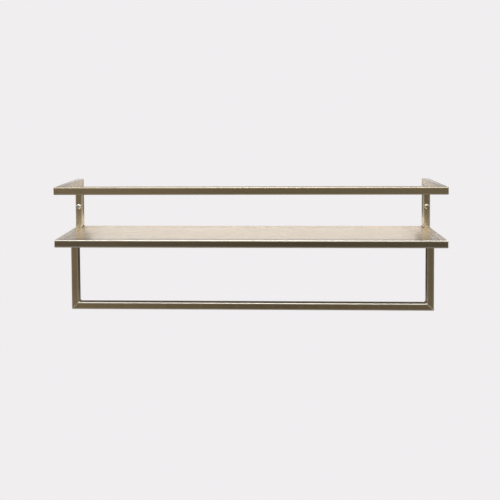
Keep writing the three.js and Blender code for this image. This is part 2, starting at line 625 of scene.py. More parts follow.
class TubeTree(GrowthTree):
    """Draws a hollow square tube along +X, mitred at its ends and drilled where a screw passes."""

    corner_points = 6
    flat_cuts = 5
    bore_corner_points = 2
    drill_sides = 40
    merging = 0.004 * MM
    crease = math.radians(38)
    edge_reach = (1.9 * MM, 0.8 * MM)  # where an edge's wear begins and where it is full
    heat_reach = (1.0 * MM, 9.0 * MM)
    dressing_reach = (10.0 * MM, 38.0 * MM)
    dents_across = 60.0

    def __init__(self) -> None:
        """Builds the tree."""
        stock = ("Side", "Wall", "Corner Radius", "Bore Radius", "Edge Break")
        cuts = ("Length", "Start Setback", "End Setback", "Hole At", "Hole Radius")
        dents = ("Dent Depth", "Dent Length", "Seed")
        looks = ("Ageing", "Rubbing", "Dressing", "End Dressing")
        vectors = ("Start Lean", "End Lean")
        super().__init__("square_tube", stock + cuts + dents + looks, Int=["Rings"], Vector=vectors)
        self.along, self.across, self.upward = self.parts(self.place)
        self._draw_walls()
        self._mitre()
        self._drill()
        self._dent()
        self._mark()
        self.shade("FACE", True)
        angle = self.add("GeometryNodeInputMeshEdgeAngle")
        self.shade("EDGE", False, Selection=angle > self.crease)
        self.end()

    def _draw_walls(self) -> None:
        """Draws the straight tube, cut square: outside, bore and the two rims between them."""
        length, side, rings, ease = map(self.given, ("Length", "Side", "Rings", "Edge Break"))
        line_end = self.vector(length)
        outline = self.rectangle(side, side, self.given("Corner Radius"), self.corner_points)
        last_of_corner = (self.index % (self.corner_points + 1)) > (self.corner_points - 0.5)
        cuts = last_of_corner * self.flat_cuts
        outline = self.add("GeometryNodeSubdivideCurve", Curve=outline, Cuts=cuts)
        hollow = side - self.given("Wall") * 2.0
        bore = self.rectangle(hollow, hollow, self.given("Bore Radius"), self.bore_corner_points)

        line = self.add("GeometryNodeCurvePrimitiveLine", {"mode": "POINTS"}, End=line_end)
        spine = self.add("GeometryNodeResampleCurve", {"mode": "COUNT"}, Curve=line, Count=rings)
        spaced = ease + (self.index - 1.0) / (rings - 3.0) * (length - ease * 2.0)
        places = self.vector(spaced.at_least(0.0).at_most(length))
        spine = self.add("GeometryNodeSetPosition", Geometry=spine, Position=places)
        at_end = 1.0 - self.index.at_most(rings - 1.0 - self.index).at_most(1.0)
        shrink = ease * 2.0 / side
        outside = self.sweep(spine, outline, Scale=1.0 - at_end * shrink)
        inside = self.add("GeometryNodeFlipFaces", Mesh=self.sweep(line, bore))

        small = self.vector(1.0 - shrink, 1.0 - shrink, 1.0)
        rim = self.join(self.moved(outline, Scale=small), bore)
        rim = self.add("GeometryNodeFillCurve", {"mode": "TRIANGLES"}, Curve=rim)
        first = self.moved(rim, Rotation=Euler((0.0, -QUARTER_TURN, 0.0)))
        last = self.moved(rim, Translation=line_end, Rotation=Euler((0.0, QUARTER_TURN, 0.0)))
        whole = self.join(outside, inside, first, last)
        self.shape = self.add("GeometryNodeMergeByDistance", Geometry=whole, Distance=self.merging)

    def _mitre(self) -> None:
        """Leans the rings, more and more towards each end, until the ends meet their neighbours."""
        share = self.along / self.given("Length")
        starts = self._reach("Start Lean") + self.given("Start Setback")
        ends = self._reach("End Lean") + self.given("End Setback")
        self.shift(Offset=self.vector((1.0 - share) * starts - share * ends))

    def _reach(self, lean: str) -> Signal:
        """How far a point lies towards a lean."""
        dot = {"operation": "DOT_PRODUCT"}
        return self.add("ShaderNodeVectorMath", dot, self.place, self.given(lean), output="Value")

    def _drill(self) -> None:
        """Takes the screw's hole out of both walls, if there is one."""
        radius, depth = self.given("Hole Radius"), self.given("Side") * 2.0
        size = {"Vertices": self.drill_sides, "Radius": radius, "Depth": depth}
        drill = self.add("GeometryNodeMeshCylinder", {"fill_type": "NGON"}, **size)
        to_hole, turn = self.vector(self.given("Hole At")), Euler((QUARTER_TURN, 0.0, 0.0))
        drill = self.moved(drill, Translation=to_hole, Rotation=turn)
        difference = {"operation": "DIFFERENCE", "solver": "EXACT"}
        cut = self.add("GeometryNodeMeshBoolean", difference, Mesh_1=self.shape, Mesh_2=drill)
        greater = {"data_type": "FLOAT", "operation": "GREATER_THAN"}
        has_hole = self.add("FunctionNodeCompare", greater, A=radius, B=0.0)
        choice = {"Switch": has_hole, "False": self.shape, "True": cut}
        self.shape = self.add("GeometryNodeSwitch", {"input_type": "GEOMETRY"}, **choice)

    def _dent(self) -> None:
        """Lets the faces lie a little below true, as on tube that was ground by hand."""
        ease = self.along.at_most(self.given("Length") - self.along).rise(0.0, self.given("Side"))
        along = self.along / self.given("Dent Length") + self.given("Seed")
        around = (self.across * self.dents_across, self.upward * self.dents_across)
        sink = self.noise(self.vector(along, *around), 1.0, 1.0, 0.4) * ease
        sink = sink * self.given("Dent Depth")
        self.shift(Offset=self.scaled(self.add("GeometryNodeInputNormal"), -sink))

    def _mark(self) -> None:
        """Stores how near each point is to a long edge and a welded end, its age, and its polish, wear
        and painted light.
        """
        nearer = abs(self.across).at_most(abs(self.upward))
        half = self.given("Side") / 2.0
        edge = nearer.rise(*(half - reach for reach in self.edge_reach))
        from_start = self.along - self._reach("Start Lean")
        from_end = self.given("Length") - self.along - self._reach("End Lean")
        at_end = (1.0 - from_end.rise(*self.dressing_reach)) * self.given("End Dressing")
        marks = {
            "edge": edge,
            "rubbed": edge * self.given("Rubbing"),
            "joint": 1.0 - from_start.at_most(from_end).rise(*self.heat_reach),
            "age": self.given("Ageing"),
            "dressed": at_end.at_least(self.given("Dressing")),
        }
        point = {"data_type": "FLOAT", "domain": "POINT"}
        for name, value in marks.items():
            values = {"Geometry": self.shape, "Name": name, "Value": value}
            self.shape = self.add("GeometryNodeStoreNamedAttribute", point, **values)


class BeadTree(GrowthTree):
    """Lays a rippled weld bead along each line of its host mesh."""

    corner_points = 3
    steps_a_ripple = 5.0
    sway_size = 3 * MM
    thinnest = 0.05  # at an open end, as a share of the bead's width

    def __init__(self) -> None:
        """Builds the tree."""
        names = ("Width", "Height", "Corner Radius", "Ripple Pitch", "Ripple Depth", "Wander", "Seed")
        super().__init__("weld_bead", names, Bool=["Closed"])
        width, height, radius, pitch, depth, wander, seed = map(self.given, names)
        line = self.add("GeometryNodeMeshToCurve", Mesh=self.given("Host"))
        spacing = {"Curve": line, "Length": pitch / self.steps_a_ripple}
        self.shape = self.add("GeometryNodeResampleCurve", {"mode": "LENGTH"}, **spacing)

        add, subtract = {"operation": "ADD"}, {"operation": "SUBTRACT"}
        seeded = self.add("ShaderNodeVectorMath", add, self.place, self.vector(seed))
        sway = self.noise(seeded, 1 / self.sway_size, 1.0).sibling("Color")
        sway = self.add("ShaderNodeVectorMath", subtract, sway, (0.5, 0.5, 0.5))
        self.shift(Offset=self.scaled(sway, wander))

        reached = self.add("GeometryNodeSplineParameter", output="Length")
        whole = self.add("GeometryNodeSplineLength")
        crest = 1.0 - depth * (1.0 - abs(self.reckon("SINE", reached / pitch * math.pi)))
        to_end = (reached.at_most(whole - reached) / width * 2.0).clamped()
        rounded = self.reckon("SQRT", to_end * (2.0 - to_end)).at_least(self.thinnest)
        taper = 1.0 - (1.0 - self.given("Closed")) * (1.0 - rounded)
        line = self.add("GeometryNodeSetCurveNormal", {"mode": "Z_UP"}, Curve=self.shape)
        profile = self.rectangle(width, height, radius, self.corner_points)
        self.shape = self.sweep(line, profile, Scale=crest * taper, Fill_Caps=True)
        self.shade("FACE", True)
        self.end()


class ThreadTree(GrowthTree):
    """Winds a screw thread round the shank of its host mesh, along +Z."""

    steps_a_turn = 28
    ridge_height = 0.21  # half the ridge's height at its root, in pitches
    finest = 0.02  # how far the thread narrows at the point
    lowest = 0.25  # how far its ridge does
    run_in = 0.05  # how far its ridge does where it begins

    def __init__(self) -> None:
        """Builds the tree."""
        names = ("Core Radius", "Outer Radius", "Pitch", "Shank Length", "Thread Length", "Tip Length")
        super().__init__("screw_thread", names)
        core, outer, pitch, start, length, tip = map(self.given, names)
        radii = {"Start_Radius": core, "End_Radius": core}
        size = {"Resolution": self.steps_a_turn, "Rotations": length / pitch, "Height": length}
        helix = self.add("GeometryNodeCurveSpiral", **radii, **size)
        x, y, z = self.parts(self.place)
        narrow = ((length - z) / tip).at_least(self.finest).at_most(1.0)
        begun = (z / pitch).at_least(self.run_in).at_most(1.0)
        tapered = self.vector(x * narrow, y * narrow, z + start)
        helix = self.add("GeometryNodeSetPosition", Geometry=helix, Position=tapered)
        helix = self.add("GeometryNodeSetCurveNormal", {"mode": "Z_UP"}, Curve=helix)
        size = {"Resolution": 4, "Radius": 1.0}
        ridge = self.add("GeometryNodeCurvePrimitiveCircle", {"mode": "RADIUS"}, **size)
        ridge = self.moved(ridge, Scale=self.vector(outer - core, pitch * self.ridge_height, 1.0))
        height = narrow.at_least(self.lowest) * begun
        self.shape = self.join(self.shape, self.sweep(helix, ridge, Scale=height, Fill_Caps=True))
        self.end()


@dataclass(frozen=True)
class TubeStock:
    """The square tube that the rack is welded from."""

    side: float = 12 * MM
    wall: float = 1.2 * MM
    corner_radius: float = 1.0 * MM
    bore_radius: float = 0.4 * MM
    seam: float = 0.3 * MM  # the gap that a weld fills between two tubes
    edge_break: float = 0.45 * MM  # the bevel ground on a cut end before it is welded
    ring_spacing: float = 6 * MM  # between the rings of the drawn surface
    dent_depth: float = 0.03 * MM
    dent_length: float = 110 * MM

    @property
    def half(self) -> float:
        """Half its outside width."""
        return self.side / 2

    @property
    def setback(self) -> float:
        """How far along the tube half a seam reaches at a 45 degree cut."""
        return self.seam / 2 * math.sqrt(2)


@dataclass(frozen=True)
class TubeLook:
    """How one tube has kept, in shares that are about 1 at most."""

    seed: float  # moves the pattern of its dents
    ageing: float = 0.0  # how much darker than the others it is made, or lighter below 0, as painted light on the shelf's side bars
    dressing: float = 0.0  # how far all of it takes the polished colour; on the shelf's side and back bars this is painted light
    end_dressing: float = 0.0  # the same for its end; at the feet of the posts and uprights this is painted light
    rubbing: float = 0.6  # how far hands and cloths have polished its edges, which also paints a highlight on them


@dataclass(frozen=True)
class TubeRun:
    """One length of tube, from the start of its centre line to its end.

    A lean is the way that the next tube leaves that end, or None where the end is cut square.
    """

    node: str
    start: Vector
    axis: Vector
    length: float
    start_lean: Vector | None = None
    end_lean: Vector | None = None
    hole_at: float = 0.0  # how far along it a screw goes through
    hole_radius: float = 0.0

    @property
    def end(self) -> Vector:
        """The end of its centre line."""
        return self.start + self.axis * self.length

    @property
    def frame(self) -> Matrix:
        """Where the tube's own X, Y and Z lie in the rack.

        Returns:
            The matrix that turns and moves them there.
        """
        first = TO_WALL if abs(self.axis.y) < 0.5 else UP
        turn = Matrix((self.axis, first, self.axis.cross(first))).transposed()
        return Matrix.Translation(self.start) @ turn.to_4x4()

    def local(self, direction: Vector | None) -> Vector:
        """A direction of the rack in the tube's own axes, or no length for None."""
        return Vector() if direction is None else self.frame.to_3x3().transposed() @ direction

    def ring(self, stock: TubeStock, at_start: bool, inset: float) -> list[Vector]:
        """Follows a mitred joint round the tube, a little below its surface.

        Args:
            stock: The tube's sizes.
            at_start: Whether the joint is at the start of the run.
            inset: How far below the surface the line runs.

        Returns:
            The points of the closed line, in the rack's frame.
        """
        lean = self.local(self.start_lean if at_start else self.end_lean)
        base, sign = (0.0, 1.0) if at_start else (self.length, -1.0)
        reach, radius = stock.half - stock.corner_radius, stock.corner_radius - inset
        points = []
        for corner, (to_across, to_upward) in enumerate(CORNERS):
            for share in (0.0, 1 / 3, 2 / 3, 1.0):
                angle = (corner + share) * QUARTER_TURN
                across = to_across * reach + radius * math.cos(angle)
                upward = to_upward * reach + radius * math.sin(angle)
                along = base + sign * (lean.y * across + lean.z * upward)
                points.append(self.frame @ Vector((along, across, upward)))
        return points


@dataclass(frozen=True)
class Bead:
    """The shape of one kind of weld bead."""

    width: float
    height: float
    corner_radius: float
    ripple_pitch: float
    ripple_depth: float = 0.0
    wander: float = 0.0
    closed: bool = False  # it returns to its start, where an open one tapers off at its ends

    @classmethod
    def rod(cls, radius: float, **others: float | bool) -> "Bead":
        """A bead with a round section."""
        return cls(2 * radius, 2 * radius, radius, **others)


class Workshop:
    """The tube, the trees and the finishes that every part of the rack shares."""

    def __init__(self) -> None:
        """Builds the trees and mixes the finishes."""
        self.stock = TubeStock()
        self.tubes, self.beads, self.threads = TubeTree(), BeadTree(), ThreadTree()
        lays = {axis: SatinBrass(f"satin_brass_{axis.name.lower()}", axis) for axis in Axis}
        self.brass = {axis: brass.material() for axis, brass in lays.items()}
        self.bare = {kind: kind.value.material() for kind in Bare}

    def run_in_box(self, node: str, axis: Axis, way: int, start_lean: Vector | None = None,
                   end_lean: Vector | None = None) -> TubeRun:
        """Finds a tube's centre line from its node's box.

        Args:
            node: The model's node.
            axis: The direction that the tube lies in.
            way: 1 if it is laid towards plus, -1 towards minus.
            start_lean: The way that the next tube leaves its start.
            end_lean: The way that the next tube leaves its end.

        Returns:
            The run of tube.
        """
        to_corner = way * (self.stock.half - self.stock.setback)
        start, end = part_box(node)[::way]
        start_at = start[axis.value] + (0.0 if start_lean is None else to_corner)
        end_at = end[axis.value] - (0.0 if end_lean is None else to_corner)
        begin = middle_of(node)
        begin[axis.value] = start_at
        return TubeRun(node, begin, way * axis.vector, abs(end_at - start_at), start_lean, end_lean)

    def lay_tube(self, run: TubeRun, **look: float) -> None:
        """Draws one tube and puts it in place of its node.

        Args:
            run: Where it lies and how its ends are cut.
            **look: The fields of its TubeLook.
        """
        stock = self.stock
        values = {**inputs(stock), **inputs(run), **inputs(TubeLook(**look))}
        for end, lean in (("Start", run.start_lean), ("End", run.end_lean)):
            values[f"{end} Lean"] = run.local(lean)
            values[f"{end} Setback"] = 0.0 if lean is None else stock.setback
        # Two more rings hold the bevels at the ends.
        values["Rings"] = round(run.length / stock.ring_spacing) + 1 + 2
        axis = max(Axis, key=lambda axis: abs(run.axis[axis.value]))
        name = f"{run.node}_brass"
        mesh = self.tubes.grow(name, self.brass[axis], values)
        mesh.transform(run.frame)
        show(name, mesh, "brass_tube", run.node)

    def lay_bead(self, name: str, bead: Bead, paths: Sequence[Sequence[Vector]],
                 finish: bpy.types.Material, seed: float = 0.0) -> bpy.types.Mesh:
        """Lays one kind of bead.

        Args:
            name: The mesh's name.
            bead: The bead's shape.
            paths: The points of each line that it follows.
            finish: The material.
            seed: Moves the pattern of its wander.

        Returns:
            The mesh of all the lines' beads.
        """
        lines = bmesh.new()
        for path in paths:
            points = [lines.verts.new(point) for point in path]
            following = points[1:] + points[:1] if bead.closed else points[1:]
            for pair in zip(points, following):
                lines.edges.new(pair)
        host = settle(lines, f"{name}_lines")
        return self.beads.grow(name, finish, {**inputs(bead), "Seed": seed}, host)


@dataclass
class WeldSet:
    """The welds of one part of the rack: flush rings in the mitres and fillets in the corners."""

    name: str
    shop: Workshop
    seed: float
    finish: Bare = Bare.RAW_WELD
    flush: Bead = Bead.rod(
        0.55 * MM, ripple_pitch=0.9 * MM, ripple_depth=0.03, wander=0.015 * MM, closed=True
    )
    fillet: Bead = Bead.rod(1.5 * MM, ripple_pitch=1.5 * MM, ripple_depth=0.22, wander=0.5 * MM)
    sink: float = 0.05 * MM  # how far a flush bead lies below the tube's face
    stand_off: float = 0.35  # how far a fillet stands out of its corner, in its own radii
    shoulder: float = 0.8 * MM  # what a fillet leaves free at each side of the tube
    rings: list[list[Vector]] = field(default_factory=list)
    lines: list[list[Vector]] = field(default_factory=list)

    def close_mitre(self, run: TubeRun, at_start: bool, filleted: bool = True) -> None:
        """Adds the flush weld round one mitred joint, and the bead inside its corner.

        Args:
            run: One of the two tubes that meet.
            at_start: Whether the joint is at the start of the run.
            filleted: Whether the corner has that bead.
        """
        half = self.shop.stock.half
        self.rings.append(run.ring(self.shop.stock, at_start, self.flush.corner_radius + self.sink))
        lean, along = (run.start_lean, run.axis) if at_start else (run.end_lean, -run.axis)
        corner = run.start if at_start else run.end
        inner = corner + (lean + along) * (half + self.stand_off * self.fillet.corner_radius)
        reach = along.cross(lean) * (half - self.shoulder)
        if filleted:
            self.lines.append([inner - reach, inner + reach])

    def lay(self) -> None:
        """Lays all the beads as one piece."""
        finish = self.shop.bare[self.finish]
        together = bmesh.new()
        for bead, paths in ((self.flush, self.rings), (self.fillet, self.lines)):
            if paths:
                together.from_mesh(self.shop.lay_bead(self.name, bead, paths, finish, self.seed))
        mesh = settle(together, self.name)
        mesh.materials.append(finish)
        show(self.name, mesh, "brass_tube")


@dataclass
class Gallery:
    """The rail round the shelf: a front rail, an arm at each end and the two posts on the wall."""

    shop: Workshop
    hole_radius: float = 2.75 * MM
    rail_ageing: float = 0.05
    # How far the rail's edges take the near-white rub colour, which paints their highlight.
    rail_rub_and_sheen: float = 0.33
    arm_dressing: float = 0.1
    foot_sheen: float = 1.0  # the foot of each post takes the polished colour: a painted reflection of the lit shelf below it
    bead_lift: float = 0.2 * MM  # how far the bead at a foot runs above the shelf
    bead_inset: float = 0.35 * MM  # and inside the post's faces
    bead_ends: Span = (1.6 * MM, 2.0 * MM)  # what it leaves free at its outer and back end

    def build(self) -> None:
        """Lays the tubes and welds them."""
        shop, welds = self.shop, WeldSet("gallery_welds", self.shop, seed=1.0)
        rail = shop.run_in_box("gallery_front_rail", Axis.X, 1, TO_WALL, TO_WALL)
        shop.lay_tube(rail, seed=3.0, ageing=self.rail_ageing, rubbing=self.rail_rub_and_sheen)
        for at_start in (True, False):
            welds.close_mitre(rail, at_start)
        for side in Side:
            arm = shop.run_in_box(f"gallery_{side.word}_arm", Axis.Y, 1, side.inward, DOWN)
            shop.lay_tube(arm, seed=11.0 + side.value, dressing=self.arm_dressing)
            welds.close_mitre(arm, at_start=False)
            post = shop.run_in_box(f"{side.word}_post", Axis.Z, -1, TO_ROOM)
            hole_at = post.start.z - middle_of(f"wall_screw_{side.word}").z
            post = replace(post, hole_at=hole_at, hole_radius=self.hole_radius)
            shop.lay_tube(post, seed=17.0 + side.value, end_dressing=self.foot_sheen)
            welds.lines.append(self._foot_line(post, side))
        welds.lay()

    def _foot_line(self, post: TubeRun, side: Side) -> list[Vector]:
        """Follows the foot of a post round the two sides that show.

        Args:
            post: The post.
            side: The end of the rack.

        Returns:
            The line of the bead.
        """
        half = self.shop.stock.half
        foot, reach = post.end + UP * self.bead_lift, half - self.bead_inset
        outer_end, back_end = self.bead_ends
        return [
            foot + TO_ROOM * reach - side.inward * (half - outer_end),
            foot + (TO_ROOM + side.inward) * reach,
            foot + side.inward * reach + TO_WALL * (half - back_end),
        ]


@dataclass
class Shelf:
    """The shelf: four mitred bars round a folded sheet pan."""

    shop: Workshop
    sheet: float = 1.2 * MM
    bend_radius: float = 2.0 * MM  # outside each fold
    relief: float = 2.5 * MM  # the notch at each corner that lets two folds meet
    cell: float = 8 * MM  # the grid that the pan is drawn on
    bend_steps: int = 6
    flange_steps: int = 3
    sag: float = 0.12 * MM  # how far the sheet may lie below true
    sag_waves: Span = (9.0, 22.0)  # a metre, along and across
    sag_seed: float = 4.2
    sag_margin: float = 15 * MM
    burr: float = 0.15 * MM  # the rounding of the cut edges
    filler: Bead = Bead(2.9 * MM, 1.6 * MM, 0.15 * MM, ripple_pitch=30 * MM, closed=True)
    filler_inset: float = 0.25 * MM  # from the pan's outline to the middle of the filler
    filler_rise: float = 0.05 * MM
    tack: Bead = Bead.rod(1.1 * MM, ripple_pitch=1.5 * MM, ripple_depth=0.22, wander=0.5 * MM)
    tack_length: float = 12 * MM
    tacks_a_side: int = 6
    # The front bar is darker all over, and its edges take the rub colour that paints their highlight.
    front_darkening: float = 0.74
    front_rub_and_sheen: float = 0.95
    # Painted light: the side and back bars are made lighter all over.
    side_light_shift: float = -0.3
    side_sheen: float = 0.85
    back_sheen: float = 0.7
    finish: SatinBrass = SatinBrass(
        "satin_brass_sheet",
        Axis.X,
        clean=(0.64, 0.54, 0.385),
        aged=(0.47, 0.395, 0.28),
        lacquer_roughness=0.24,
        roughness=0.28,
        cloud_size=70 * MM,
    )

    def build(self) -> None:
        """Lays the four bars, folds the pan and welds them."""
        shop, welds = self.shop, WeldSet("shelf_welds", self.shop, seed=2.0)
        front = shop.run_in_box("shelf_front_bar", Axis.X, 1, TO_WALL, TO_WALL)
        back = shop.run_in_box("shelf_back_bar", Axis.X, 1, TO_ROOM, TO_ROOM)
        shop.lay_tube(front, seed=23.0, ageing=self.front_darkening, rubbing=self.front_rub_and_sheen)
        shop.lay_tube(back, seed=29.0, dressing=self.back_sheen)
        for run in (front, back):
            for at_start in (True, False):
                welds.close_mitre(run, at_start, filleted=False)
        look = {"ageing": self.side_light_shift, "dressing": self.side_sheen}
        for side in Side:
            node = f"shelf_{side.word}_bar"
            bar = shop.run_in_box(node, Axis.Y, 1, side.inward, side.inward)
            shop.lay_tube(bar, seed=31.0 + side.value, **look)
        welds.lay()
        self._fold_pan()
        self._fill_groove()
        self._tack_pan()

    def _folded(self, length: float, depth: float) -> list[Span]:
        """Folds the blank in one direction.

        Args:
            length: The pan's outside size in this direction.
            depth: The depth of its flanges.

        Returns:
            For each line of the grid, its distance from the middle and how far it is turned down.
        """
        end, radius, notch = length / 2, self.bend_radius, length / 2 - self.relief
        cells = round(2 * notch / self.cell)
        flat = [(-notch + 2 * notch * step / cells, 0.0) for step in range(cells + 1)]
        turns = [QUARTER_TURN * step / self.bend_steps for step in range(self.bend_steps + 1)]
        bend = [(end - radius + radius * math.sin(t), radius * (1 - math.cos(t))) for t in turns]
        drop = (depth - radius) / self.flange_steps
        flange = [(end, radius + drop * step) for step in range(1, self.flange_steps + 1)]
        outer = bend + flange
        return [(-place, below) for place, below in reversed(outer)] + flat + outer

    def _past_notch(self, strip: int, lines: Sequence[Span]) -> bool:
        """Whether the strip of the grid after a line lies beyond the notches."""
        return min(strip, len(lines) - 2 - strip) <= self.bend_steps + self.flange_steps

    def _fold_pan(self) -> None:
        """Folds the sheet pan and puts it in place of its node."""
        low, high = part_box("shelf_panel")
        size, middle = high - low, middle_of("shelf_panel")
        columns, rows = self._folded(size.x, size.z), self._folded(size.y, size.z)
        waves_along, waves_across = self.sag_waves
        blank = bmesh.new()
        grid = []
        for across, row_drop in rows:
            grid.append([])
            for along, column_drop in columns:
                wave = Vector((along * waves_along, across * waves_across, self.sag_seed))
                inside = min(size.x / 2 - abs(along), size.y / 2 - abs(across)) - self.relief
                ease = min(1.0, max(0.0, inside / self.sag_margin))
                dip = self.sag * (noise.noise(wave) * 0.5 + 0.5) * ease
                height = high.z - row_drop - column_drop - dip
                grid[-1].append(blank.verts.new((middle.x + along, middle.y + across, height)))
        for r, (near, far) in enumerate(zip(grid, grid[1:])):
            for c in range(len(columns) - 1):
                if not (self._past_notch(r, rows) and self._past_notch(c, columns)):
                    blank.faces.new((near[c], near[c + 1], far[c + 1], far[c]))
        loose = [vert for vert in blank.verts if not vert.link_faces]
        bmesh.ops.delete(blank, geom=loose, context="VERTS")
        mesh = settle(blank, "shelf_pan")
        mesh.materials.append(self.finish.material())
        mesh.shade_smooth()
        if mesh.polygons[len(mesh.polygons) // 2].normal.z < 0:
            mesh.flip_normals()
        sheet = {"thickness": self.sheet, "offset": -1.0, "use_even_offset": True}
        burr = {"width": self.burr, "segments": 2, "limit_method": "ANGLE"}
        burr["angle_limit"] = math.radians(60)
        folded = modified(mesh, SOLIDIFY=sheet, BEVEL=burr)
        show("shelf_panel_sheet", folded, "brass_sheet", "shelf_panel")

    def _fill_groove(self) -> None:
        """Fills the groove between the pan's folds and the bars with a weld that is ground flat."""
        low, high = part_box("shelf_panel")
        reach = (high - low) / 2 - Vector((1.0, 1.0, 0.0)) * self.filler_inset
        middle = middle_of("shelf_panel")
        middle.z = high.z + self.filler_rise - self.filler.height / 2
        corners = CORNERS[2:] + CORNERS[:2]
        line = [middle + Vector((x * reach.x, y * reach.y, 0.0)) for x, y in corners]
        name, brass = "shelf_groove_filler", self.shop.brass[Axis.X]
        mesh = self.shop.lay_bead(name, self.filler, [line], brass)
        mesh.set_sharp_from_angle(angle=math.radians(30))
        show(name, mesh, "brass_tube")

    def _tack_pan(self) -> None:
        """Lays the short welds under the shelf that hold the pan's flanges to the bars."""
        low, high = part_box("shelf_panel")
        step = (high.x - low.x) / self.tacks_a_side
        along = [low.x + step * (tack + 0.5) for tack in range(self.tacks_a_side)]
        spots = [(x, y, Axis.X) for x in along for y in (low.y, high.y)]
        spots += [(x, middle_of("shelf_panel").y, Axis.Y) for x in (low.x, high.x)]
        tacks = WeldSet("shelf_pan_tacks", self.shop, seed=5.0, fillet=self.tack)
        for x, y, axis in spots:
            spot, reach = Vector((x, y, low.z)), axis.vector * self.tack_length / 2
            tacks.lines.append([spot - reach, spot + reach])
        tacks.lay()


@dataclass
class TowelFrame:
    """The frame under the shelf: an upright at each end and the bar that carries the towel."""

    shop: Workshop
    rubbing: float = 1.2  # towels have polished the edges of the bar; set high, it also paints a brighter highlight on them
    # Painted light: the lower end of each upright takes the polished colour.
    foot_sheen: float = 0.2
    bead_drop: float = 0.2 * MM  # how far the bead at a head runs below the shelf
    bead_proud: float = 0.1 * MM  # and outside the upright's faces
    bead_end: float = 1.6 * MM  # what it leaves free at each end

    def build(self) -> None:
        """Lays the tubes and welds them."""
        shop = self.shop
        welds = WeldSet("towel_frame_welds", shop, seed=3.0, finish=Bare.POLISHED_WELD)
        bar = shop.run_in_box("towel_bar", Axis.X, 1, UP, UP)
        shop.lay_tube(bar, seed=41.0, rubbing=self.rubbing)
        for at_start in (True, False):
            welds.close_mitre(bar, at_start)
        for side in Side:
            upright = shop.run_in_box(f"{side.word}_upright", Axis.Z, -1, None, side.inward)
            shop.lay_tube(upright, seed=43.0 + side.value, end_dressing=self.foot_sheen)
            welds.lines.append(self._head_line(upright, side))
        welds.lay()

    def _head_line(self, upright: TubeRun, side: Side) -> list[Vector]:
        """Follows the head of an upright round three of its sides.

        Args:
            upright: The upright.
            side: The end of the rack.

        Returns:
            The line of the bead.
        """
        half = self.shop.stock.half
        top, reach = upright.start + DOWN * self.bead_drop, half + self.bead_proud
        outward = -side.inward * (half - self.bead_end)
        return [
            top + TO_ROOM * reach + outward,
            top + (TO_ROOM + side.inward) * reach,
            top + (TO_WALL + side.inward) * reach,
            top + TO_WALL * reach + outward,
        ]


